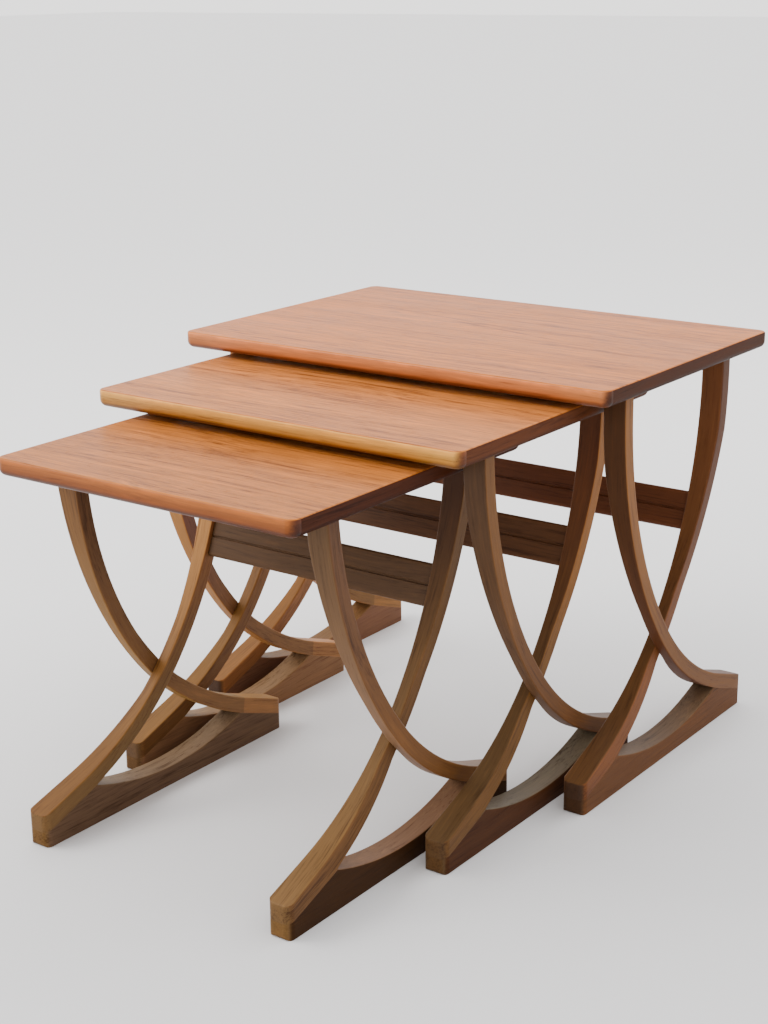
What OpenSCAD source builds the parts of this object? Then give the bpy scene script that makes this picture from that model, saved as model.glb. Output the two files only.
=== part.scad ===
// Nest of three side tables with crossed, curved legs.
// The middle and small tables stand pulled out in front of the large one and slide back under it.
// X runs across the tables, Y runs from front to rear and Z is up from the floor.
// The origin is on the floor under the middle of the whole group.

/* [Large table] */
// Width of the large table's top
large_w = 606; // [480:1:760]
// Height of the large table
large_h = 500; // [450:1:620]
// Depth of all three tops
depth = 402; // [360:1:520]

/* [Nesting] */
// Clearance on each side between one table's top and the next table's frames
side_gap = 5; // [2:0.5:12]
// Clearance between one table's top and the board above it
head_gap = 8; // [3:0.5:20]
// How far the middle table stands in front of the large one
pull_middle = 207; // [20:1:400]
// How far the small table stands in front of the middle one
pull_small = 202; // [20:1:400]

/* [Tops] */
// Thickness of a finished top
top_t = 20; // [14:0.5:28]
// Thickness of the veneer on both faces
veneer_t = 0.8; // [0.5:0.1:1.5]
// Width of the solid lipping round the panel
lip_w = 12; // [12:0.5:30]
// Radius of a top's corners in plan
corner_r = 12; // [9:0.5:12]
// Radius of the upper edge
arris_r = 2.5; // [1:0.5:4]
// Radius of the under edge
under_r = 8; // [2:0.5:8]

/* [Side frames] */
// Distance from a top's side edge to the outer face of the side frame
frame_inset = 15; // [6:0.5:40]
// Thickness of a side frame, from outer to inner face
frame_t = 30; // [22:0.5:40]
// Length of a foot beyond the top at each end
foot_over = 4; // [0:0.5:12]
// Lowest height of the foot's hollow upper edge
foot_waist = 24; // [15:0.5:32]
// Radius of the foot's hollow upper edge
foot_hollow_r = 352; // [300:1:900]
// Radius of the upright corners at the ends of a foot
tip_r = 6; // [1:0.5:8]

/* [Legs] */
// Width of a leg seen from the side
leg_w = 19; // [14:0.5:24]
// Thickness of a leg's head, across the frame
head_t = 28; // [18:0.5:30]
// Height of the leg's centre line at the foot's tip
tip_z = 28.5; // [22:0.5:36]
// Slope of a leg where it lies on the foot, from the floor
tip_slope = 19.5; // [12:0.5:30]
// Length of the straight run on the foot
tip_run = 69; // [40:1:110]
// Radius of the lower bend
lower_r = 350; // [250:1:450]
// Angle of the lower bend
lower_turn = 31; // [20:0.5:40]
// Radius of the upper bend
upper_r = 480; // [380:1:520]
// Height at which a leg's head starts to thin towards the crossing
thin_from_z = 390; // [300:1:410]
// How far a leg keeps half the frame's thickness above the crossing
cross_above = 42; // [2:1:60]
// How far a leg keeps half the frame's thickness below the crossing
cross_below = 5; // [1:1:15]
// Height at which a leg has the frame's full thickness
widen_to_z = 42; // [30:1:60]

/* [Rear rails] */
// Height of a rail's middle above the floor
rail_z = 288; // [240:1:330]
// Width of a rail along the slope of the legs
rail_h = 48; // [30:1:70]
// Thickness of a rail
rail_t = 13; // [8:0.5:16]
// Distance from the legs' front face to the rail
rail_setback = 5; // [1:0.5:8]
// Width of the groove along the middle of a rail
groove_w = 3; // [1:0.5:6]

/* [Dowels] */
// Diameter of all dowels
dowel_d = 6; // [4:0.5:8]
// Depth of a dowel in a leg, foot or rail
dowel_in = 15; // [10:0.5:18]
// Depth of a dowel in a top
dowel_in_top = 12; // [8:0.5:13]
// Distance between the two dowels of a pair
dowel_pitch = 14; // [10:0.5:18]
// Distance of a foot dowel from the foot's end
foot_dowel_y = 46; // [30:1:60]
// Depth of a foot dowel in the foot and in the leg
foot_dowel_in = 12; // [8:0.5:14]
// Depth of the crossing and rail dowels in a leg
cross_dowel_in = 9; // [6:0.5:11]

/* [Hidden] */
PARTS = ["panel_core", "top_veneer", "under_veneer", "front_lipping", "rear_lipping", "left_lipping",
         "right_lipping", "left_front_leg", "left_rear_leg", "right_front_leg", "right_rear_leg",
         "left_foot", "right_foot", "rear_rail", "top_dowels", "foot_dowels", "crossing_dowels",
         "rail_dowels"];

TABLES = ["large", "middle", "small"];
TOP_TEAK = "#b5754a";
LIP_TEAK = "#9c6234";
LEG_TEAK = "#83532f";
DOWEL_BEECH = "#d2b183";
ROUND = 48;
BEND_STEPS = 16;
SPAN = 1000;

// Sizes of table k: 0 is the large table, 1 the middle one and 2 the small one
function width(k) = large_w - 2 * k * (frame_inset + frame_t + side_gap);
function height(k) = large_h - k * (top_t + head_gap);
function underside(k) = height(k) - top_t;
function front(k) = (pull_middle + pull_small - depth) / 2
                    - (k > 0 ? pull_middle : 0) - (k > 1 ? pull_small : 0);
function frame_x(k) = width(k) / 2 - frame_inset;

// The foot runs from foot_front to foot_rear in a table's own depth direction
foot_front = -foot_over;
foot_rear = depth + foot_over;
foot_len = foot_rear - foot_front;
half_leg = leg_w / 2;

// A leg's centre line: a straight run up the foot, a lower bend, an upper bend and a plumb head.
// Points are [distance from the leg's own foot tip, height]; headings are measured from the floor.
function heading(a) = [cos(a), sin(a)];
function left_of(a) = [-sin(a), cos(a)];
turn_heading = tip_slope + lower_turn;
run_end = [0, tip_z] + tip_run * heading(tip_slope);
lower_centre = run_end + lower_r * left_of(tip_slope);
bend_join = lower_centre - lower_r * left_of(turn_heading);
upper_centre = bend_join + upper_r * left_of(turn_heading);
head_y = upper_centre[0] + upper_r;

// One edge of a leg, offset to the left of the centre line, from beyond the tip to above the top
function bend(centre, r, from, to) =
    [for (i = [0 : BEND_STEPS]) centre - r * left_of(from + (to - from) * i / BEND_STEPS)];
function leg_edge(offset) = concat(
    [[0, tip_z] - tip_run * heading(tip_slope) + offset * left_of(tip_slope)],
    bend(lower_centre, lower_r - offset, tip_slope, turn_heading),
    bend(upper_centre, upper_r - offset, turn_heading, 90),
    [[head_y - offset, SPAN]]);
function reversed(list) = [for (i = [len(list) - 1 : -1 : 0]) list[i]];

// The rail sits on the upper bend of the rear legs
rail_heading = acos((upper_centre[1] - rail_z) / upper_r);
rail_mid = upper_centre - upper_r * left_of(rail_heading)
           + (half_leg - rail_setback - rail_t / 2) * left_of(rail_heading);

// The legs of a frame cross halfway along the foot
crossing_sine = (foot_len / 2 - upper_centre[0]) / upper_r;
crossing_z = upper_centre[1] - upper_r * cos(asin(crossing_sine));
crossing_reach = half_leg / cos(asin(crossing_sine));
thin_to_z = crossing_z + crossing_reach + cross_above;
widen_from_z = crossing_z - crossing_reach - cross_below;

// Places a side view, drawn as [depth, height], as a solid of thickness t whose outer face is at x
module side_solid(x, t) {
    translate([x - t, 0, 0]) rotate([90, 0, 90]) linear_extrude(t) children();
}

// Puts the child on the right, or its mirror image on the left
module on_side(side) {
    if (side == "left") mirror([1, 0, 0]) children();
    else children();
}

// The side view of a leg whose foot tip is at the front, or its mirror image with the tip at the rear
module facing(end) {
    if (end == "rear_leg") translate([foot_front, 0]) children();
    else translate([foot_rear, 0]) mirror([1, 0]) children();
}

module leg_outline() {
    polygon(concat(leg_edge(-half_leg), reversed(leg_edge(half_leg))));
}

// Everything above a leg's lower edge
module above_leg() {
    polygon(concat(leg_edge(-half_leg), [[-tip_run, SPAN]]));
}

module foot_outline() {
    difference() {
        translate([foot_front, 0]) square([foot_len, SPAN]);
        translate([depth / 2, foot_waist + foot_hollow_r]) circle(foot_hollow_r, $fn = 4 * ROUND);
        facing("rear_leg") above_leg();
        facing("front_leg") above_leg();
        translate([foot_front, tip_z * 3]) square([foot_len, SPAN]);
    }
}

// The block that a side frame is shaped from, with its upright end corners rounded
module frame_block(k) {
    x = frame_x(k) - frame_t;
    linear_extrude(underside(k)) union() {
        translate([x, foot_front + tip_r]) square([frame_t, foot_len - 2 * tip_r]);
        translate([x + tip_r, foot_front]) square([frame_t - 2 * tip_r, foot_len]);
        for (px = [x + tip_r, x + frame_t - tip_r], py = [foot_front + tip_r, foot_rear - tip_r])
            translate([px, py]) circle(tip_r, $fn = ROUND);
    }
}

// Thickness of a leg from its flat face: full at the foot, half at the crossing, head_t at the head
module thickness_outline() {
    half = frame_t / 2;
    polygon([[0, 0], [frame_t, 0], [frame_t, widen_to_z], [half, widen_from_z], [half, thin_to_z],
             [head_t, thin_from_z], [head_t, SPAN], [0, SPAN]]);
}

// Front legs are flat on the outer face and rear legs on the inner face
module thickness_block(k, end) {
    translate([frame_x(k), foot_rear + SPAN, 0]) rotate([90, 0, 0])
        linear_extrude(foot_len + 2 * SPAN) {
            if (end == "front_leg") mirror([1, 0]) thickness_outline();
            else translate([-frame_t, 0]) thickness_outline();
        }
}

module peg(depth_a, depth_b) {
    translate([0, 0, -depth_a]) cylinder(depth_a + depth_b, d = dowel_d, $fn = ROUND);
}

// A pair of dowels in the head of each leg of the right frame
module head_pegs(k, end) {
    y = end == "rear_leg" ? foot_front + head_y : foot_rear - head_y;
    x = frame_x(k) - (end == "rear_leg" ? frame_t - head_t / 2 : head_t / 2);
    for (s = [-1, 1]) translate([x + s * dowel_pitch / 2, y, underside(k)]) peg(dowel_in, dowel_in_top);
}

// One dowel through the joint between a foot and the leg's end that lies on it
module foot_peg(k, end) {
    y = end == "rear_leg" ? foot_front + foot_dowel_y : foot_rear - foot_dowel_y;
    joint_z = tip_z + foot_dowel_y * tan(tip_slope) - half_leg / cos(tip_slope);
    translate([frame_x(k) - frame_t / 2, y, joint_z]) peg(foot_dowel_in, foot_dowel_in);
}

module crossing_peg(k) {
    translate([frame_x(k) - frame_t / 2, depth / 2, crossing_z])
        rotate([0, 90, 0]) peg(cross_dowel_in, cross_dowel_in);
}

module rail_pegs(k) {
    translate([frame_x(k) - frame_t, foot_front + rail_mid[0], rail_mid[1]])
        rotate([rail_heading - 90, 0, 0])
            for (s = [-1, 1]) translate([0, 0, s * dowel_pitch]) rotate([0, 90, 0])
                peg(dowel_in, cross_dowel_in);
}

module leg(k, side, end) {
    color(LEG_TEAK) on_side(side) difference() {
        intersection() {
            side_solid(frame_x(k), frame_t) facing(end) leg_outline();
            thickness_block(k, end);
            frame_block(k);
        }
        head_pegs(k, end);
        foot_peg(k, end);
        crossing_peg(k);
        if (end == "rear_leg") rail_pegs(k);
    }
}

module foot(k, side) {
    color(LEG_TEAK) on_side(side) difference() {
        intersection() {
            side_solid(frame_x(k), frame_t) foot_outline();
            frame_block(k);
        }
        foot_peg(k, "front_leg");
        foot_peg(k, "rear_leg");
    }
}

module rear_rail(k) {
    rail_len = 2 * (frame_x(k) - frame_t);
    color(LEG_TEAK) difference() {
        translate([0, foot_front + rail_mid[0], rail_mid[1]]) rotate([rail_heading - 90, 0, 0])
            difference() {
                cube([rail_len, rail_t, rail_h], center = true);
                translate([0, -rail_t / 2, 0]) rotate([45, 0, 0])
                    cube([rail_len + 1, groove_w / sqrt(2), groove_w / sqrt(2)], center = true);
            }
        rail_pegs(k);
        mirror([1, 0, 0]) rail_pegs(k);
    }
}

// Section of a top's edge, from inner_w inside the edge out to the edge
module edge_section(inner_w) {
    difference() {
        square([inner_w, top_t]);
        translate([inner_w - under_r, 0]) difference() {
            translate([0, -1]) square([under_r + 1, under_r + 1]);
            translate([0, under_r]) circle(under_r, $fn = 2 * ROUND);
        }
        translate([inner_w - arris_r, top_t - arris_r]) difference() {
            square(arris_r + 1);
            circle(arris_r, $fn = 2 * ROUND);
        }
    }
}

// A whole top before it is parted into core, veneers and lippings, with its underside at zero
module board(k) {
    w = width(k);
    r = corner_r;
    translate([r - w / 2, r, 0]) cube([w - 2 * r, depth - 2 * r, top_t]);
    for (s = [-1, 1], y = [r, depth - r]) translate([s * (w / 2 - r), y, 0])
        rotate_extrude($fn = 2 * ROUND) edge_section(r);
    for (a = [0, 180]) translate([0, depth / 2, 0]) rotate([0, 0, a]) {
        translate([w / 2 - r, depth / 2 - r, 0]) rotate([90, 0, 0])
            linear_extrude(depth - 2 * r) edge_section(r);
        translate([r - w / 2, depth / 2 - r, 0]) rotate([90, 0, 90])
            linear_extrude(w - 2 * r) edge_section(r);
    }
}

// The part of a top between two heights above its underside
module board_layer(k, from, to) {
    intersection() {
        board(k);
        translate([-SPAN, -SPAN, from]) cube([2 * SPAN, 2 * SPAN + depth, to - from]);
    }
}

module head_pegs_all(k) {
    for (side = ["left", "right"], end = ["front_leg", "rear_leg"]) on_side(side) head_pegs(k, end);
}

module panel_core(k) {
    color(LIP_TEAK) difference() {
        translate([lip_w - width(k) / 2, lip_w, underside(k) + veneer_t])
            cube([width(k) - 2 * lip_w, depth - 2 * lip_w, top_t - 2 * veneer_t]);
        head_pegs_all(k);
    }
}

module top_veneer(k) {
    color(TOP_TEAK) translate([0, 0, underside(k)]) board_layer(k, top_t - veneer_t, top_t);
}

module under_veneer(k) {
    color(TOP_TEAK) difference() {
        translate([0, 0, underside(k)]) board_layer(k, 0, veneer_t);
        head_pegs_all(k);
    }
}

// Plan of a lipping that takes in both corners of the front edge
module end_lipping_plan(k) {
    translate([-width(k) / 2, 0]) square([width(k), lip_w]);
}

// Plan of the lipping that fits between them on the left edge
module side_lipping_plan(k) {
    translate([-width(k) / 2, lip_w]) square([lip_w, depth - 2 * lip_w]);
}

module lipping(k, edge) {
    color(LIP_TEAK) translate([0, 0, underside(k)]) intersection() {
        board_layer(k, veneer_t, top_t - veneer_t);
        linear_extrude(top_t) {
            if (edge == "front") end_lipping_plan(k);
            if (edge == "rear") translate([0, depth]) mirror([0, 1]) end_lipping_plan(k);
            if (edge == "left") side_lipping_plan(k);
            if (edge == "right") mirror([1, 0]) side_lipping_plan(k);
        }
    }
}

module top_dowels(k) {
    color(DOWEL_BEECH) head_pegs_all(k);
}

module foot_dowels(k) {
    color(DOWEL_BEECH) for (side = ["left", "right"], end = ["front_leg", "rear_leg"])
        on_side(side) foot_peg(k, end);
}

module crossing_dowels(k) {
    color(DOWEL_BEECH) for (side = ["left", "right"]) on_side(side) crossing_peg(k);
}

module rail_dowels(k) {
    color(DOWEL_BEECH) for (side = ["left", "right"]) on_side(side) rail_pegs(k);
}

// One named piece of table k, in the table's own place
module piece(k, part) {
    translate([0, front(k), 0]) {
        if (part == "panel_core") panel_core(k);
        if (part == "top_veneer") top_veneer(k);
        if (part == "under_veneer") under_veneer(k);
        if (part == "front_lipping") lipping(k, "front");
        if (part == "rear_lipping") lipping(k, "rear");
        if (part == "left_lipping") lipping(k, "left");
        if (part == "right_lipping") lipping(k, "right");
        if (part == "left_front_leg") leg(k, "left", "front_leg");
        if (part == "left_rear_leg") leg(k, "left", "rear_leg");
        if (part == "right_front_leg") leg(k, "right", "front_leg");
        if (part == "right_rear_leg") leg(k, "right", "rear_leg");
        if (part == "left_foot") foot(k, "left");
        if (part == "right_foot") foot(k, "right");
        if (part == "rear_rail") rear_rail(k);
        if (part == "top_dowels") top_dowels(k);
        if (part == "foot_dowels") foot_dowels(k);
        if (part == "crossing_dowels") crossing_dowels(k);
        if (part == "rail_dowels") rail_dowels(k);
    }
}

for (k = [0 : 2], part = PARTS)
    piece(k, part);
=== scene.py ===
"""A nest of three teak side tables with crossed, curved legs, pulled out one in front of another."""

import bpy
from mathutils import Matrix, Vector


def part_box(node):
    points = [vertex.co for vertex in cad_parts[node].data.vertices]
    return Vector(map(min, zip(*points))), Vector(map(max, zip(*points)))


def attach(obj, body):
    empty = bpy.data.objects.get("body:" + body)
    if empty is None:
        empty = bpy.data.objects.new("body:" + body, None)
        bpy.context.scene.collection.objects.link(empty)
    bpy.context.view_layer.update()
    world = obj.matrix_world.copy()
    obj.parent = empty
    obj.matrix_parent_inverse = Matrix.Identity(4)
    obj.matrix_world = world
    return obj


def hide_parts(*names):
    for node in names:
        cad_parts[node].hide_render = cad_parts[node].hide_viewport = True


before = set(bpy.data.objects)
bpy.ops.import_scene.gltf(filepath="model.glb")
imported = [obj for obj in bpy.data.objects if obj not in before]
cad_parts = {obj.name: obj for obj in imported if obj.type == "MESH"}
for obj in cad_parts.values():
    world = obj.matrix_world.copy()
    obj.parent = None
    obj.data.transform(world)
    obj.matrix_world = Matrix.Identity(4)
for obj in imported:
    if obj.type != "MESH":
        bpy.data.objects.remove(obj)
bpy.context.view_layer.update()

import math

import bpy
from mathutils import Matrix, Vector

MM = 0.001
TABLES = ("large", "middle", "small")


# ---------------------------------------------------------------- shader maths

class Value:
    """A number that varies over a surface, with arithmetic that adds Math nodes."""

    def __init__(self, material, socket):
        self.material = material
        self.socket = socket

    def _math(self, operation, *terms):
        sockets = {i: t.socket if isinstance(t, Value) else t for i, t in enumerate(terms)}
        node = self.material.node("ShaderNodeMath", {"operation": operation}, sockets)
        return Value(self.material, node.outputs[0])

    def __add__(self, other):
        return self._math("ADD", self, other)

    def __radd__(self, other):
        return self._math("ADD", other, self)

    def __sub__(self, other):
        return self._math("SUBTRACT", self, other)

    def __rsub__(self, other):
        return self._math("SUBTRACT", other, self)

    def __mul__(self, other):
        return self._math("MULTIPLY", self, other)

    def __rmul__(self, other):
        return self._math("MULTIPLY", other, self)

    def __truediv__(self, other):
        return self._math("DIVIDE", self, other)

    def __abs__(self):
        return self._math("ABSOLUTE", self)

    def ramp(self, low, high):
        """0 below low, 1 above high and smooth between them."""
        node = self.material.node(
            "ShaderNodeMapRange",
            {"interpolation_type": "SMOOTHSTEP"},
            {"Value": self.socket, "From Min": low, "From Max": high},
        )
        return Value(self.material, node.outputs["Result"])


class Shader:
    """A node tree that nodes are added to."""

    def __init__(self, tree):
        self.tree = tree

    def node(self, kind, settings=None, sockets=None):
        made = self.tree.nodes.new(kind)
        for key, value in (settings or {}).items():
            setattr(made, key, value)
        for key, value in (sockets or {}).items():
            self.feed(made.inputs[key], value)
        return made

    def feed(self, socket, value):
        if isinstance(value, Value):
            value = value.socket
        if isinstance(value, bpy.types.NodeSocket):
            self.tree.links.new(value, socket)
        else:
            socket.default_value = value

    def attribute(self, name, output="Vector"):
        return self.node("ShaderNodeAttribute", {"attribute_name": name}).outputs[output]

    def vector(self, operation, a, b):
        sockets = {0: a, 1: b}
        return self.node("ShaderNodeVectorMath", {"operation": operation}, sockets).outputs[0]

    def tinted(self, base, factors):
        """A colour multiplied by three factors."""
        return self.vector("MULTIPLY", base, factors)

    def parts(self, vector):
        node = self.node("ShaderNodeSeparateXYZ", sockets={0: vector})
        return [Value(self, out) for out in node.outputs]

    def noise(self, vector, scale, detail=2.0, rough=0.5, shift=(0.0, 0.0, 0.0)):
        """Noise with a scale of its own along each axis, from 0 to 1."""
        placed = self.vector("ADD", self.vector("MULTIPLY", vector, scale), shift)
        sockets = {"Vector": placed, "Scale": 1.0, "Detail": detail, "Roughness": rough}
        return Value(self, self.node("ShaderNodeTexNoise", sockets=sockets).outputs["Fac"])

    def mix(self, a, b, factor):
        node = self.node("ShaderNodeMix", {"data_type": "RGBA"})
        self.feed(node.inputs["Factor"], factor)
        self.feed(node.inputs[6], a)
        self.feed(node.inputs[7], b)
        return node.outputs[2]


class Material(Shader):
    """A new material with one Principled shader."""

    def __init__(self, name):
        self.data = bpy.data.materials.new(name)
        self.data.use_nodes = True
        super().__init__(self.data.node_tree)
        self.shader = self.tree.nodes["Principled BSDF"]

    def bump(self, height, distance, strength=1.0):
        sockets = {"Height": height, "Distance": distance, "Strength": strength}
        node = self.node("ShaderNodeBump", sockets=sockets)
        self.feed(self.shader.inputs["Normal"], node.outputs[0])

    def surface(self, **sockets):
        for key, value in sockets.items():
            self.feed(self.shader.inputs[key.replace("_", " ")], value)
        return self.data


def colour(red, green, blue):
    """A colour from 0 to 255 display values to linear light."""
    def linear(v):
        v /= 255
        return v / 12.92 if v <= 0.04045 else ((v + 0.055) / 1.055) ** 2.4
    return (linear(red), linear(green), linear(blue), 1.0)


# Heights in metres: the upper edge of the end grain at the toes, and where the low and high tones sit
TOE_HEIGHT = 0.037
LOW_TONE_HEIGHT = 0.06
HIGH_TONE_HEIGHT = 0.42

# Depth of the painted highlight band below an upper edge, from its start to its whole strength, in metres
HIGHLIGHT_START = 0.014
HIGHLIGHT_WHOLE = 0.003
# Widths of the soft lines at the toe's end grain and at the joint of a piece let in, in metres
TOE_LINE = 0.002
SPLICE_LINE = 0.0008
# How far the grain wanders, and how deep its pores are, in metres
WANDER = 0.03
PORE_DEPTH = 0.00012

# Colour factors of the finish, and of the painted highlight and painted shade
DARK_GRAIN = (0.42, 0.34, 0.28)
LIGHT_GRAIN = (1.4, 1.36, 1.26)
# Pale tone of the arrises: partly real wear, partly a painted highlight
RUBBED_AND_GLINT = (1.14, 1.08, 0.98)
# Painted highlight on the upper part of a lipping's rounded edge, and the darker tone painted below it
BELOW_PAINTED_HIGHLIGHT = (0.86, 0.8, 0.74)
PAINTED_HIGHLIGHT = (1.4, 1.46, 1.6)
LET_IN = (1.4, 1.32, 1.2)
# Painted shade on surfaces that face down
PAINTED_DOWN_SHADE = (0.42, 0.38, 0.36)


def wood(name, seed, face, side=None, turn=(0.55, 0.85), streak=0.3, fleck=0.6, rough=0.5, gloss=0.3,
         worn=0.3, end=None, shaded=0.0, crown=0.0, splice=0.0, marks=()):
    """Lacquered teak. The grain attribute runs along the timber; the edge attribute marks its arrises.

    face is a pair of tones, at the low and the high end of the timber, and side is the same
    for the surfaces that face across the tables; both differences are partly the timber's own colour and
    partly painted light and shade.
    turn is the range of sideways facing over which face goes over into side.
    streak and fleck are the contrast of the long figure and of the short, fine one.
    worn is how far the arrises are made pale: partly real wear, partly a painted highlight along the
    rounded edges.
    end is the tone of the end grain that shows at the toes of the legs and feet.
    shaded is how strong a painted shade is where the surface faces down.
    crown is the height of an upper edge whose rounded top gets a painted highlight, with the part below
    painted a little darker, in metres.
    splice is how far along the timber a paler piece is let in, in metres from its foot tip.
    marks are long dark streaks: (along, across, half length, half width, slope, depth) in metres.
    """
    m = Material(name)

    # The same grain field serves every timber; shift takes each one from another part of it
    grain = m.attribute("grain")
    along, over, _ = m.parts(grain)
    edge = Value(m, m.attribute("edge", "Fac"))
    shift = (seed * 3.7, seed * 1.3, seed * 2.1)
    warp = (m.noise(grain, (3.0, 9.0, 9.0), 2.0, shift=shift) - 0.5) * WANDER
    bent = m.node("ShaderNodeCombineXYZ", sockets={1: warp, 2: warp})
    flow = m.vector("ADD", grain, bent.outputs[0])
    broad = m.noise(flow, (1.6, 34.0, 34.0), 4.0, 0.6, shift)
    bands = m.noise(flow, (2.6, 130.0, 130.0), 3.0, 0.6, shift)
    fine = m.noise(flow, (16.0, 430.0, 430.0), 4.0, 0.68, shift)
    pores = m.noise(grain, (55.0, 1500.0, 1500.0), 1.0, shift=shift).ramp(0.60, 0.72)
    cloud = m.noise(grain, (5.0, 11.0, 11.0), 3.0, shift=shift)

    geometry = m.node("ShaderNodeNewGeometry").outputs
    facing_x, facing_y, facing_z = m.parts(geometry["Normal"])
    height = m.parts(geometry["Position"])[2]
    # Low and high tones by height: partly the timber's own colour, partly painted light and shade
    rise = height.ramp(LOW_TONE_HEIGHT, HIGH_TONE_HEIGHT)
    base = m.mix(face[0], face[1], rise)
    # Sideways faces take the side tones: partly the timber's own colour, partly painted shade and light by
    # facing
    if side:
        across = abs(facing_x).ramp(*turn)
        base = m.mix(base, m.mix(side[0], side[1], rise), across)
    if end:
        toe = abs(facing_y).ramp(0.35, 0.95) * (1 - height.ramp(TOE_HEIGHT, TOE_HEIGHT + TOE_LINE))
        base = m.mix(base, end, toe)
    # Painted highlight on the upper part of the rounded edge, with the part below it painted darker
    if crown:
        paler = height.ramp(crown - HIGHLIGHT_START, crown - HIGHLIGHT_WHOLE)
        base = m.mix(m.tinted(base, BELOW_PAINTED_HIGHLIGHT), m.tinted(base, PAINTED_HIGHLIGHT), paler)
    if splice:
        base = m.mix(base, m.tinted(base, LET_IN), 1 - along.ramp(splice, splice + SPLICE_LINE))

    # depth is below 0 in the dark streaks and above 0 in the pale ones
    depth = (broad - 0.5) * (4.0 * streak) + (bands - 0.5) * (5.0 * streak)
    depth = depth + (fine - 0.5) * (5.0 * fleck)
    depth = depth + (cloud - 0.5) * 0.7 - pores * (0.4 * fleck)
    for x, y, half_length, half_width, slope, dark in marks:
        wave = (m.noise(grain, (14.0, 3.0, 3.0), 2.0, shift=shift) - 0.5) * (2 * half_width)
        far = abs(over - y - (along - x) * slope + wave) / half_width
        ends = abs(along - x) / half_length
        depth = depth - (1 - far.ramp(0.2, 1.0)) * (1 - ends.ramp(0.45, 1.0)) * dark
    pale = m.tinted(base, LIGHT_GRAIN)
    tone = m.mix(base, m.tinted(base, DARK_GRAIN), (0 - depth).ramp(0.0, 1.0))
    tone = m.mix(tone, pale, depth.ramp(0.0, 1.0))

    # Paler arrises: partly rubbed wear, partly a painted highlight along the edges
    patch = m.noise(grain, (26.0, 40.0, 40.0), 3.0, shift=shift).ramp(0.42, 0.66)
    tone = m.mix(tone, m.tinted(pale, RUBBED_AND_GLINT), edge * (0.35 + patch * 0.65) * worn)
    # Painted shade: darker where the surface faces down
    if shaded:
        below = (0 - facing_z).ramp(0.0, 0.6)
        tone = m.mix(tone, m.tinted(tone, PAINTED_DOWN_SHADE), below * shaded)
    m.bump(fine * 0.5 + broad * 0.3 - pores * 0.6, PORE_DEPTH, 0.6)
    return m.surface(
        Base_Color=tone,
        Roughness=rough + (fine - 0.5) * 0.16 + pores * 0.1 + (cloud - 0.5) * 0.12,
        Specular_IOR_Level=gloss,
    )


# ---------------------------------------------------------------- meshes

# Edges that turn by more than this stay sharp
SHARP_TURN = math.radians(40)


def mesh_piece(name, points, faces, grain, edge, material, body, slot, *nodes):
    """A piece from points in millimetres, with its grain and edge attributes."""
    mesh = bpy.data.meshes.new(name)
    mesh.from_pydata([[c * MM for c in p] for p in points], [], faces)
    flow = mesh.attributes.new("grain", "FLOAT_VECTOR", "POINT")
    flow.data.foreach_set("vector", [c * MM for g in grain for c in g])
    arris = mesh.attributes.new("edge", "FLOAT", "POINT")
    arris.data.foreach_set("value", edge)
    mesh.validate()
    mesh.shade_smooth()
    mesh.set_sharp_from_angle(angle=SHARP_TURN)
    mesh.materials.append(material)
    piece = bpy.data.objects.new(name, mesh)
    bpy.context.scene.collection.objects.link(piece)
    piece.modifiers.new("even normals", "WEIGHTED_NORMAL").keep_sharp = True
    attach(piece, body)
    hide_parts(*nodes)
    return piece


def loft_faces(rings, size, flip):
    """Quads between closed rings of equal size, and a cap at each end."""
    faces = []
    for r in range(rings - 1):
        for i in range(size):
            a = r * size + i
            b = r * size + (i + 1) % size
            faces.append([a, b, b + size, a + size])
    faces.append(list(range(size))[::-1])
    faces.append(list(range((rings - 1) * size, rings * size)))
    return [face[::-1] for face in faces] if flip else faces


# Width of the flat strip next to each rounded arris, in millimetres, and the steps round an arris
FLAT = 3.0
CORNER_STEPS = 3
# Distances from a toe at which a leg or foot has a section, so that its corners come out round
TOE_PLACES = [0.0, 0.3, 1.0, 2.0, 3.4, 5.2, 7.2, 9.0]


def section(half, thick, radius_high, radius_low):
    """A rounded bar section as (offset, inset from the high side, edge mark), anticlockwise.

    offset runs from half to -half; the second number runs from 0 at one face to thick at the other.
    """
    out = []
    for high, thin, order in ((1, 0, 1), (-1, 0, -1), (-1, 1, 1), (1, 1, -1)):
        radius = radius_high if high > 0 else radius_low
        steps = range(CORNER_STEPS + 1) if order > 0 else range(CORNER_STEPS, -1, -1)
        arc = []
        for k in steps:
            turn = math.pi / 2 * k / CORNER_STEPS
            inset = radius * (1 - math.sin(turn))
            offset = high * (half - radius * (1 - math.cos(turn)))
            arc.append((offset, thick - inset if thin else inset, 1.0))
        on_face = (high * half, thick - FLAT if thin else FLAT, 0.0)
        on_side = (high * (half - FLAT), thick if thin else 0, 0.0)
        out += [on_face] + arc + [on_side] if order > 0 else [on_side] + arc + [on_face]
    return out


# ---------------------------------------------------------------- the shared leg

# Distances from the tip of the sections on the straight run, and the steps along the two bends
RUN_PLACES = (20.0, 35.0, 50.0)
LOWER_STEPS = 14
UPPER_STEPS = 22
# The bend's steps end this far below the top, and the head starts with a section this far below it
HEAD_LENGTH = 30
HEAD_START = 22
# Least distance between the last section on the bend and the first on the head
HEAD_GAP = 12


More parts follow.
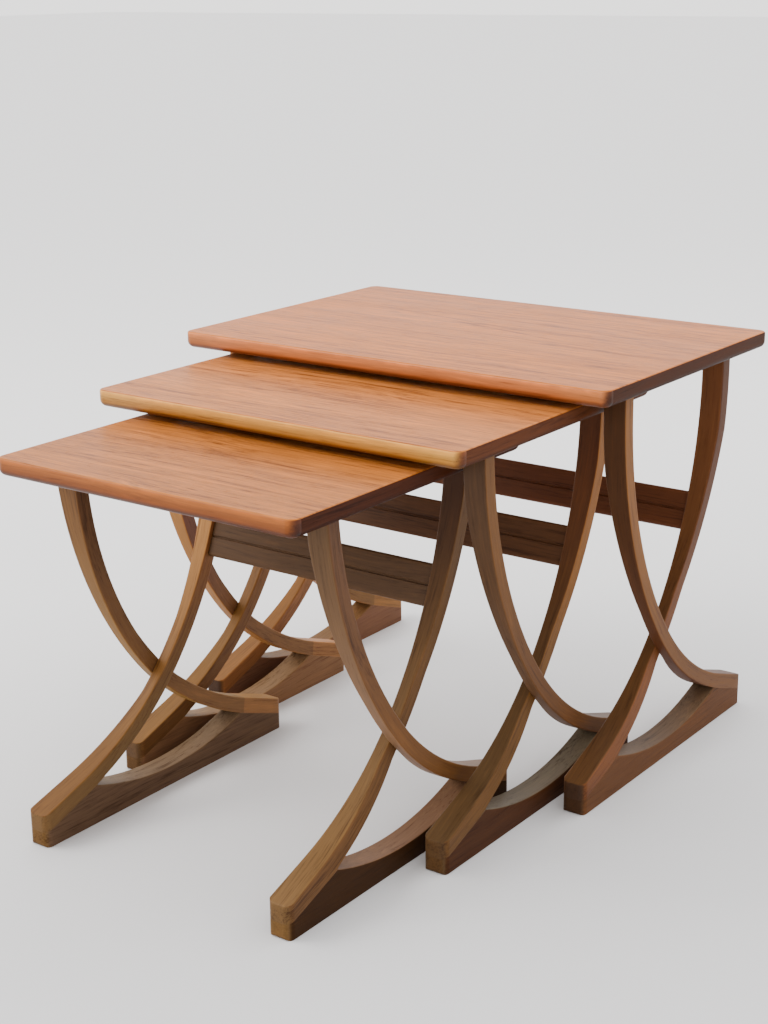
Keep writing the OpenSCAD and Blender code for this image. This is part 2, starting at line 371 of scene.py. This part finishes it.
class Leg:
    """The centre line of a leg, in (distance from its foot tip, height).

    From the tip it is a straight run up the foot, a lower bend, an upper bend and a plumb head.
    """

    width = 19.0
    tip_z = 28.5
    slope = math.radians(19.5)
    run = 69.0
    lower_r = 350.0
    lower_turn = math.radians(31.0)
    upper_r = 480.0

    def __init__(self):
        self.half = self.width / 2
        self.turned = self.slope + self.lower_turn
        end = Vector((0, self.tip_z)) + self.run * self.heading(self.slope)
        self.lower_c = end + self.lower_r * self.left(self.slope)
        join = self.lower_c - self.lower_r * self.left(self.turned)
        self.upper_c = join + self.upper_r * self.left(self.turned)

    @staticmethod
    def heading(a):
        return Vector((math.cos(a), math.sin(a)))

    @staticmethod
    def left(a):
        return Vector((-math.sin(a), math.cos(a)))

    def tip_point(self, s, offset):
        """A point at distance s from the tip, on the straight run."""
        return Vector((s, self.tip_z + s * math.tan(self.slope) + offset / math.cos(self.slope)))

    def level_point(self, z, offset):
        """A point at height z, on the upper bend or the plumb head."""
        radius = self.upper_r - offset
        rise = min(0.0, z - self.upper_c[1])
        return Vector((self.upper_c[0] + math.sqrt(radius ** 2 - rise ** 2), z))

    def lower_edge(self, s):
        """Height of a leg's lower edge over the foot."""
        on_run = self.tip_point(s, -self.half)[1]
        start = self.lower_c - (self.lower_r + self.half) * self.left(self.slope)
        if s <= start[0]:
            return on_run
        reach = s - self.lower_c[0]
        return self.lower_c[1] - math.sqrt((self.lower_r + self.half) ** 2 - reach ** 2)

    def stations(self, top):
        """Functions from offset to a point, from the tip up to height top, with the run of the grain."""
        out = [(lambda o, s=s: self.tip_point(s, o), s) for s in TOE_PLACES]
        for d in RUN_PLACES:
            centre = Vector((0, self.tip_z)) + d * self.heading(self.slope)
            out.append((lambda o, c=centre: c + o * self.left(self.slope), d))
        for i in range(LOWER_STEPS):
            a = self.slope + self.lower_turn * i / LOWER_STEPS
            out.append((lambda o, a=a: self.lower_c - (self.lower_r - o) * self.left(a),
                        self.run + self.lower_r * (a - self.slope)))
        bend_start = self.run + self.lower_r * self.lower_turn
        for i in range(UPPER_STEPS):
            a = self.turned + (math.pi / 2 - self.turned) * i / UPPER_STEPS
            centre = self.upper_c - self.upper_r * self.left(a)
            if centre[1] > top - HEAD_LENGTH:
                break
            out.append((lambda o, a=a: self.upper_c - (self.upper_r - o) * self.left(a),
                        bend_start + self.upper_r * (a - self.turned)))
        reached = out[-1][0](0)[1]
        along = out[-1][1]
        first = max(reached + HEAD_GAP, top - HEAD_START)
        for z in (first, (first + top) / 2, top - 2, top):
            out.append((lambda o, z=z: self.level_point(z, o), along + z - reached))
        return out


LEG = Leg()
# Thickness of a side frame and of a leg's head, across the frame
FRAME_T = 30.0
HEAD_T = 28.0
# Radii of the upright toe corners, the free arrises, the arrises at a joint and a leg's upper toe edge
TIP_R = 9.0
ARRIS = 1.6
JOINT_ARRIS = 0.2
END_ARRIS = 1.0
# Distance from the toe at which a leg's lower edge leaves the foot
LEAVES_FOOT = 86.0
# Leg thickness by height: whole at the foot, half the frame at the crossing and HEAD_T at the head
THICKNESS = ((-1.0, FRAME_T), (42.0, FRAME_T), (125.0, FRAME_T / 2), (200.0, FRAME_T / 2),
             (390.0, HEAD_T), (900.0, HEAD_T))


def leg_thickness(z):
    """Thickness of a leg across the frame at height z."""
    for (z0, t0), (z1, t1) in zip(THICKNESS, THICKNESS[1:]):
        if z <= z1:
            return t0 + (t1 - t0) * (z - z0) / (z1 - z0)
    return HEAD_T


def rounding(s, radius):
    """How far a face stands back at distance s from an end, for an end corner of this radius."""
    if s >= radius:
        return 0.0
    return radius - math.sqrt(radius ** 2 - (radius - s) ** 2)


def make_leg(table, side, end, material):
    """A leg whose foot tip is at the front for the rear leg, and at the rear for the front leg."""
    name = f"{table.name}_{side}_{end}"
    points, grain, edge = [], [], []
    stations = LEG.stations(table.underside)
    for place, along in stations:
        on_foot = place(-LEG.half)[0] < LEAVES_FOOT
        low_r = JOINT_ARRIS if on_foot else ARRIS
        shape = section(LEG.half, 1.0, ARRIS, low_r)
        size = len(shape)
        for i, (offset, _, mark) in enumerate(shape):
            flat = place(offset)
            thick = leg_thickness(flat[1])
            _, inset, _ = section(LEG.half, thick, ARRIS, low_r)[i]
            if offset > 0:
                offset -= rounding(flat[0], END_ARRIS)
                flat = place(offset)
            plan = rounding(flat[0], TIP_R)
            inset = min(max(inset, plan), thick - plan)
            x = table.frame_x - inset if end == "front_leg" else table.frame_x - FRAME_T + thick - inset
            y = table.foot_rear - flat[0] if end == "front_leg" else table.foot_front + flat[0]
            points.append((x if side == "right" else -x, y, flat[1]))
            grain.append((along, offset, inset))
            edge.append(0.0 if on_foot and offset < 0 else mark)
    flip = (side == "right") == (end == "front_leg")
    faces = loft_faces(len(stations), size, not flip)
    return mesh_piece(f"{name}_shaped", points, faces, grain, edge, material, table.body, "leg", name)


# The foot's hollow upper edge: its radius, and the height of the foot at its middle
HOLLOW_R = 352.0
WAIST = 24.0
# Distances from a toe of the foot's sections below a leg
UNDER_LEG_PLACES = [20.0, 40.0, 60.0, 72.0, 80.0, 84.0, 87.0, 90.0]
# The hollow starts this far from a toe and is drawn in this many steps up to the middle
HOLLOW_FROM = 96.0
HOLLOW_STEPS = 12
# Radii of the foot's lower edges, at the toes and along the sides
FOOT_TOE_R = 4.0
FOOT_SIDE_R = 1.2


def make_foot(table, side, material):
    """A foot: flat below, rising under the legs at both ends and hollow between them."""
    name = f"{table.name}_{side}_foot"
    length = table.foot_rear - table.foot_front
    middle = length / 2
    hollow = [HOLLOW_FROM + (middle - HOLLOW_FROM) * i / HOLLOW_STEPS for i in range(HOLLOW_STEPS + 1)]
    places = TOE_PLACES + UNDER_LEG_PLACES + hollow
    places += [length - s for s in reversed(places[:-1])]
    points, grain, edge = [], [], []
    for s in places:
        from_end = min(s, length - s)
        dip = WAIST + HOLLOW_R - math.sqrt(HOLLOW_R ** 2 - (from_end - middle) ** 2)
        under_leg = LEG.lower_edge(from_end)
        top = min(dip, under_leg)
        bottom = rounding(from_end, FOOT_TOE_R)
        half = (top - bottom) / 2
        top_r = ARRIS if dip < under_leg else JOINT_ARRIS
        plan = rounding(from_end, TIP_R)
        shape = section(half, FRAME_T, min(top_r, half), FOOT_SIDE_R)
        size = len(shape)
        for offset, inset, mark in shape:
            inset = min(max(inset, plan), FRAME_T - plan)
            x = table.frame_x - inset
            z = bottom + half + offset
            points.append((x if side == "right" else -x, table.foot_front + s, z))
            grain.append((s, z, inset))
            edge.append(0.0 if dip >= under_leg and offset > 0 else mark)
    faces = loft_faces(len(places), size, side == "right")
    return mesh_piece(f"{name}_shaped", points, faces, grain, edge, material, table.body, "foot", name)


# Height of the rail's middle, its width and thickness, and its distance from the legs' front face
RAIL_Z = 288.0
RAIL_H = 48.0
RAIL_T = 13.0
RAIL_SETBACK = 5.0
# Radius of the rail's arrises and the steps round them, and the width of the flat strip beside them
RAIL_ARRIS = 3.0
RAIL_STEPS = 4
RAIL_FLAT = 6.0
# How much smaller the rail's end faces are all round, and the distance of the next section
RAIL_END = 0.8
RAIL_NEXT = 5
# Half the width of the groove, which is as deep, and half the width of its floor
GROOVE_HALF = 1.5
GROOVE_FLOOR = 0.5


def make_rail(table, material):
    """The rear rail between the rear legs, tilted with them, with a groove along its front."""
    name = f"{table.name}_rear_rail"
    heading = math.acos((LEG.upper_c[1] - RAIL_Z) / LEG.upper_r)
    middle = LEG.upper_c - (LEG.upper_r - LEG.half + RAIL_SETBACK + RAIL_T / 2) * LEG.left(heading)
    up = LEG.heading(heading)
    front = LEG.left(heading)
    shape = []
    half_h, half_t = RAIL_H / 2, RAIL_T / 2
    for sh, sf, order in ((1, 1, 1), (1, -1, -1), (-1, -1, 1), (-1, 1, -1)):
        steps = range(RAIL_STEPS + 1) if order > 0 else range(RAIL_STEPS, -1, -1)
        arc = []
        for k in steps:
            turn = math.pi / 2 * k / RAIL_STEPS
            arc.append((sh * (half_h - RAIL_ARRIS * (1 - math.sin(turn))),
                        sf * (half_t - RAIL_ARRIS * (1 - math.cos(turn))), 1.0))
        inner = (sh * (half_h - RAIL_FLAT), sf * half_t, 0.0)
        shape += [inner] + arc if order > 0 else arc + [inner]
    for h in (-GROOVE_HALF - 1, -GROOVE_HALF, -GROOVE_FLOOR, GROOVE_FLOOR, GROOVE_HALF, GROOVE_HALF + 1):
        sunk = GROOVE_HALF if abs(h) < GROOVE_HALF else 0.0
        shape.append((h, half_t - sunk, 0.0))
    end = table.frame_x - FRAME_T
    points, grain, edge = [], [], []
    stations = (-end, -end + RAIL_END, -end + RAIL_NEXT, 0.0, end - RAIL_NEXT, end - RAIL_END, end)
    for x in stations:
        shrink = RAIL_END if abs(x) == end else 0.0
        for h, f, mark in shape:
            h *= 1 - shrink / half_h
            f *= 1 - shrink / half_t
            flat = middle + h * up + f * front
            points.append((x, table.foot_front + flat[0], flat[1]))
            grain.append((x, h, f))
            edge.append(mark)
    faces = loft_faces(len(stations), len(shape), True)
    return mesh_piece(f"{name}_shaped", points, faces, grain, edge, material, table.body, "rail", name)


# ---------------------------------------------------------------- tops

# Radius of a top's corners in plan and the steps round one, and the width of the lipping
CORNER_R = 12.0
CORNER_POINTS = 10
LIP_W = 12.0
# Distance from the upper face at which a lipping's edge is flat
LIP_FLAT = 6
# Points of a rounded edge that are nearer than this to a veneer are left out
NEAR_VENEER = 0.05
# Radii of the upper and the under edge, and the steps round them
TOP_ARRIS = 2.5
UNDER_R = 8.0
UPPER_EDGE_STEPS = 6
UNDER_EDGE_STEPS = 8
# Steps from the outer rim of a veneer sheet to its face, and the width of the rim's inner ring
VENEER_STEPS = 4
VENEER_RING = 4


def plan_path(table):
    """Points round a top with the outward direction at each, anticlockwise from the right front corner."""
    out = []
    corners = ((1, -1, -90), (1, 1, 0), (-1, 1, 90), (-1, -1, 180))
    for sx, sy, start in corners:
        centre = Vector((sx * (table.half_w - CORNER_R),
                         table.front + CORNER_R if sy < 0 else table.rear - CORNER_R))
        for i in range(CORNER_POINTS + 1):
            a = math.radians(start + 90 * i / CORNER_POINTS)
            out.append((centre, Vector((math.cos(a), math.sin(a)))))
    return out


def edge_profile(table):
    """The outline of a top's edge, from the upper face down, as (inset, height, edge mark)."""
    top, low = table.height, table.underside
    upper = []
    for k in range(UPPER_EDGE_STEPS + 1):
        a = math.pi / 2 * k / UPPER_EDGE_STEPS
        upper.append((TOP_ARRIS * (1 - math.sin(a)), top - TOP_ARRIS * (1 - math.cos(a)), 0.9))
    lower = []
    for k in range(UNDER_EDGE_STEPS + 1):
        a = math.pi / 2 * k / UNDER_EDGE_STEPS
        lower.append((UNDER_R * (1 - math.cos(a)), low + UNDER_R * (1 - math.sin(a)), 0.35))
    return upper, lower


def on_arc(radius, drop):
    """Inset of a rounded edge at this distance below or above the face."""
    return radius - math.sqrt(radius ** 2 - (radius - drop) ** 2)


def make_veneer(table, upper, material):
    """The sheet of veneer on a top's upper or under face."""
    name = f"{table.name}_{'top' if upper else 'under'}_veneer"
    radius = TOP_ARRIS if upper else UNDER_R
    face = table.height if upper else table.underside
    into = -1 if upper else 1
    rings = []
    for k in range(VENEER_STEPS + 1):
        drop = table.veneer * (1 - k / VENEER_STEPS) ** 1.6
        inset = on_arc(radius, drop) if drop else radius
        rings.append((inset, face + into * drop, 0.8 if k < VENEER_STEPS else 0.5))
    rings.append((radius + VENEER_RING, face, 0.0))
    path = plan_path(table)
    points, grain, edge = [], [], []
    for inset, z, mark in rings:
        for centre, out in path:
            flat = centre + out * max(CORNER_R - inset, 0.0)
            points.append((flat[0], flat[1], z))
            grain.append((flat[0], flat[1], z))
            edge.append(mark)
    faces = loft_faces(len(rings), len(path), not upper)
    slot = "top_veneer" if upper else "under_veneer"
    return mesh_piece(f"{name}_sheet", points, faces, grain, edge, material, table.body, slot, name)


def make_lipping(table, edge_name, material):
    """One solid lipping. The front and rear ones run round the corners; the side ones fit between."""
    name = f"{table.name}_{edge_name}_lipping"
    path = plan_path(table)
    n = CORNER_POINTS + 1
    if edge_name == "front":
        run = path[3 * n:4 * n] + path[0:n]
    elif edge_name == "rear":
        run = path[n:3 * n]
    elif edge_name == "right":
        run = [path[n - 1], path[n]]
    else:
        run = [path[3 * n - 1], path[3 * n]]
    upper, lower = edge_profile(table)

    # The outline goes down the outer edge, from the joint with one veneer to the joint with the other
    high = table.height - table.veneer
    low = table.underside + table.veneer
    outline = [(LIP_W, high, 0.0), (on_arc(TOP_ARRIS, table.veneer), high, 0.9)]
    outline += [p for p in upper if p[1] < high - NEAR_VENEER]
    outline += [(0.0, table.height - LIP_FLAT, 0.0), (0.0, (high + low) / 2, 0.0)]
    outline += [p for p in lower if p[1] > low + NEAR_VENEER]
    outline += [(on_arc(UNDER_R, table.veneer), low, 0.3), (LIP_W, low, 0.0)]
    points, grain, edge = [], [], []
    lengthwise = edge_name in ("left", "right")
    for centre, out in run:
        for inset, z, mark in outline:
            flat = centre + out * (CORNER_R - inset)
            points.append((flat[0], flat[1], z))
            grain.append((flat[1], flat[0], z) if lengthwise else (flat[0], flat[1], z))
            edge.append(mark)
    faces = loft_faces(len(run), len(outline), True)
    return mesh_piece(f"{name}_moulded", points, faces, grain, edge, material, table.body, "lipping", name)


class Table:
    """Sizes of one table, read from the frame, in millimetres."""

    def __init__(self, name):
        self.name = name
        self.body = f"{name}_table"
        self.half_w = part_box(f"{name}_right_lipping")[1][0] / MM
        self.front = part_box(f"{name}_front_lipping")[0][1] / MM
        self.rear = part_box(f"{name}_rear_lipping")[1][1] / MM
        self.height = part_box(f"{name}_top_veneer")[1][2] / MM
        self.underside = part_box(f"{name}_under_veneer")[0][2] / MM
        self.veneer = self.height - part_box(f"{name}_top_veneer")[0][2] / MM
        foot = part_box(f"{name}_right_foot")
        self.foot_front = foot[0][1] / MM
        self.foot_rear = foot[1][1] / MM
        self.frame_x = foot[1][0] / MM


# ---------------------------------------------------------------- finishes

# Display tones of each piece: one, or a pair for the low and the high end of the timber.
# Legs and feet have a second entry for the surfaces that face across the tables.
# Besides the timber's own colour, these tones hold painted light and shade: darker side lippings and
# sideways faces, and ends lighter or darker with the light.
TONES = {
    "large_top": ((183, 104, 39),),
    "large_front_lip": ((160, 94, 50),),
    "large_side_lip": ((62, 31, 14),),
    "large_rail": ((87, 48, 26),),
    "large_left_front_leg": ((150, 98, 60, 150, 98, 60), (111, 76, 39, 111, 76, 39)),
    "large_left_rear_leg": ((120, 79, 37, 120, 79, 37), (130, 85, 49, 130, 85, 49)),
    "large_left_foot": ((113, 82, 51), (108, 74, 54)),
    "large_right_front_leg": ((88, 51, 29, 68, 40, 17), (101, 64, 30, 122, 78, 36)),
    "large_right_rear_leg": ((81, 53, 27, 100, 60, 32), (106, 62, 30, 78, 43, 20)),
    "large_right_foot": ((92, 71, 53), (89, 57, 34)),
    "middle_top": ((181, 109, 52),),
    "middle_front_lip": ((170, 120, 53),),
    "middle_side_lip": ((84, 45, 22),),
    "middle_rail": ((81, 51, 29),),
    "middle_left_front_leg": ((150, 101, 50, 150, 101, 50), (116, 79, 45, 116, 74, 64)),
    "middle_left_rear_leg": ((115, 79, 36, 101, 61, 32), (98, 65, 35, 151, 96, 50)),
    "middle_left_foot": ((130, 102, 74), (119, 85, 59)),
    "middle_right_front_leg": ((98, 70, 48, 74, 51, 32), (90, 57, 30, 100, 66, 33)),
    "middle_right_rear_leg": ((80, 58, 34, 84, 46, 22), (93, 62, 28, 146, 95, 46)),
    "middle_right_foot": ((94, 82, 66), (66, 38, 20)),
    "small_top": ((168, 100, 44),),
    "small_front_lip": ((122, 66, 24),),
    "small_side_lip": ((63, 30, 14),),
    "small_rail": ((77, 54, 34),),
    "small_left_front_leg": ((134, 98, 49, 102, 68, 34), (113, 78, 46, 91, 60, 35)),
    "small_left_rear_leg": ((106, 70, 30, 176, 124, 70), (101, 74, 42, 130, 76, 38)),
    "small_left_foot": ((113, 92, 71), (89, 67, 50)),
    "small_right_front_leg": ((129, 97, 71, 87, 63, 39), (100, 65, 33, 90, 60, 38)),
    "small_right_rear_leg": ((110, 81, 48, 62, 36, 18), (96, 64, 33, 94, 66, 39)),
    "small_right_foot": ((111, 82, 61), (51, 30, 12)),
}

# Long dark streaks in each top, as the marks of wood() say
MARKS = {
    "large": ((-0.09, 0.262, 0.17, 0.0022, -0.16, 0.75), (0.03, 0.228, 0.12, 0.003, -0.22, 0.8),
              (0.13, 0.188, 0.16, 0.004, -0.06, 0.45), (-0.02, 0.16, 0.14, 0.002, -0.03, 0.4)),
    "middle": ((0.02, -0.09, 0.16, 0.002, 0.02, 0.35),),
    "small": ((0.04, -0.26, 0.12, 0.002, -0.03, 0.5), (-0.05, -0.32, 0.15, 0.0016, 0.0, 0.4),
              (0.08, -0.35, 0.1, 0.0016, 0.03, 0.35)),
}
TOE_TONES = {
    "large": colour(56, 36, 22),
    "middle": colour(80, 56, 32),
    "small": colour(98, 71, 39),
}
# Distance from its toe at which the left front leg has a paler piece let in, in metres
SPLICE = 0.074
UNDER_TONE = colour(110, 74, 50)
HIDDEN_WOOD = colour(196, 160, 112)


# Each timber has a seed of its own, so no two have the same grain: the table's plus one of these
SEED_STEP = 5.0
SEEDS = {
    "top": 0.0, "under": 0.3, "front_lip": 0.5, "side_lip": 0.9,
    "left_front_leg": 1.1, "left_rear_leg": 1.7,
    "right_front_leg": 2.3, "right_rear_leg": 2.9,
    "left_foot": 3.1, "right_foot": 3.7, "rail": 4.1,
}


def tones(table_name, timber):
    """The face and side tones of a timber, each as a pair."""
    if timber == "under":
        return [(UNDER_TONE, UNDER_TONE)]
    entries = TONES[f"{table_name}_{timber}"]
    return [(colour(*entry[:3]), colour(*entry[-3:])) for entry in entries]


def teak(table_name, timber, **looks):
    """The finish of one timber of a table."""
    seed = SEED_STEP * TABLES.index(table_name) + 1.0 + SEEDS[timber]
    return wood(f"{table_name}_{timber}_teak", seed, *tones(table_name, timber), **looks)


def build_top(table):
    """The two veneers and the four lippings of a top."""
    name = table.name
    make_veneer(table, True, teak(name, "top", streak=0.45, fleck=1.0, rough=0.33, gloss=0.055,
                                  marks=MARKS[name]))
    make_veneer(table, False, teak(name, "under", rough=0.6))
    # The front lipping turns into the dark side-lipping tone round its corners, painted shade on the
    # sideways faces; its arrises get the full painted highlight and its underside painted shade
    front_wood = teak(name, "front_lip", side=tones(name, "side_lip")[0], streak=0.45, rough=0.36,
                      gloss=0.2, worn=1.0, shaded=1.0, crown=table.height * MM, turn=(0.25, 0.95))
    side_wood = teak(name, "side_lip", gloss=0.06, shaded=0.6)
    for edge_name in ("front", "rear", "left", "right"):
        make_lipping(table, edge_name, front_wood if edge_name == "front" else side_wood)


def build_side_frame(table, side):
    """The two crossed legs of a side frame and the foot they stand on."""
    toe = TOE_TONES[table.name]
    for end in ("front_leg", "rear_leg"):
        timber = f"{side}_{end}"
        splice = SPLICE if timber == "left_front_leg" else 0.0
        make_leg(table, side, end, teak(table.name, timber, gloss=0.14, end=toe, splice=splice))
    make_foot(table, side, teak(table.name, f"{side}_foot", gloss=0.06, end=toe))


for table_name in TABLES:
    table = Table(table_name)
    build_top(table)
    build_side_frame(table, "left")
    build_side_frame(table, "right")
    make_rail(table, teak(table_name, "rail", gloss=0.15))

hidden = wood("hidden_core_wood", 9.0, (HIDDEN_WOOD, HIDDEN_WOOD), rough=0.7, worn=0.0)
for node_name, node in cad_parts.items():
    if node_name.endswith(("_core", "_dowels")):
        for material_slot in node.material_slots:
            material_slot.material = hidden


# ---------------------------------------------------------------- stage, light and camera

def make_floor():
    """A plain pale floor with painted light: a little lighter towards the rear and the left."""
    mesh = bpy.data.meshes.new("floor")
    reach = 30.0
    corners = [(-reach, -reach, 0), (reach, -reach, 0), (reach, reach, 0), (-reach, reach, 0)]
    mesh.from_pydata(corners, [], [[0, 1, 2, 3]])
    floor = bpy.data.objects.new("floor", mesh)
    bpy.context.scene.collection.objects.link(floor)
    m = Material("pale_floor")
    place = m.node("ShaderNodeTexCoord").outputs["Object"]
    x, y, _ = m.parts(place)
    soft = m.noise(place, (2.4, 2.4, 2.4), 2.0) - 0.5
    # Painted light: lighter towards the rear and the left
    painted_floor_light = (y * 0.55 - x * 0.45 + soft * 0.3).ramp(-1.0, 1.6)
    tone = m.mix(colour(218, 218, 220), colour(249, 249, 250), painted_floor_light)
    mesh.materials.append(m.surface(Base_Color=tone, Roughness=0.8, Specular_IOR_Level=0.2))


def make_light(name, place, target, size, power, tint=(1.0, 1.0, 1.0)):
    """A soft rectangular lamp at place that faces target."""
    lamp = bpy.data.lights.new(name, "AREA")
    lamp.shape = "RECTANGLE"
    lamp.size, lamp.size_y = size
    lamp.energy = power
    lamp.color = tint
    holder = bpy.data.objects.new(name, lamp)
    bpy.context.scene.collection.objects.link(holder)
    holder.location = place
    holder.rotation_euler = (Vector(target) - Vector(place)).to_track_quat("-Z", "Y").to_euler()


def make_camera():
    """The camera stands to the right in front of the tables and looks down on them a little."""
    yaw, pitch, roll = math.radians(36.381), math.radians(16.97), math.radians(-0.623)
    ahead = Vector((-math.sin(yaw) * math.cos(pitch), math.cos(yaw) * math.cos(pitch), -math.sin(pitch)))
    right = ahead.cross(Vector((0, 0, 1))).normalized()
    up = right.cross(ahead)
    turned_right = math.cos(roll) * right + math.sin(roll) * up
    turned_up = -math.sin(roll) * right + math.cos(roll) * up
    data = bpy.data.cameras.new("camera")
    data.sensor_width = 36.0
    data.lens = 62.682
    camera = bpy.data.objects.new("camera", data)
    bpy.context.scene.collection.objects.link(camera)
    axes = Matrix((turned_right, turned_up, -ahead)).transposed()
    camera.matrix_world = Matrix.Translation((1.205614, -1.62433, 0.9331)) @ axes.to_4x4()
    bpy.context.scene.camera = camera


def make_world():
    """A soft white surround, brighter on the left and overhead than on the right."""
    world = bpy.data.worlds.new("studio")
    bpy.context.scene.world = world
    world.use_nodes = True
    m = Shader(world.node_tree)
    x, _, z = m.parts(m.node("ShaderNodeTexCoord").outputs["Generated"])
    shade = (x - z * 0.4).ramp(-0.6, 0.9)
    sky = m.tree.nodes["Background"]
    sky.inputs["Color"].default_value = (1.0, 0.985, 0.97, 1.0)
    m.feed(sky.inputs["Strength"], 2.1 - shade * 0.95)


make_floor()
make_world()
make_light("key", (-2.0, -1.4, 2.2), (0, 0, 0.2), (1.6, 1.6), 55, (1.0, 0.97, 0.93))
make_light("rear", (1.2, 2.6, 2.2), (0, 0, 0.4), (2.4, 1.6), 30)
make_camera()
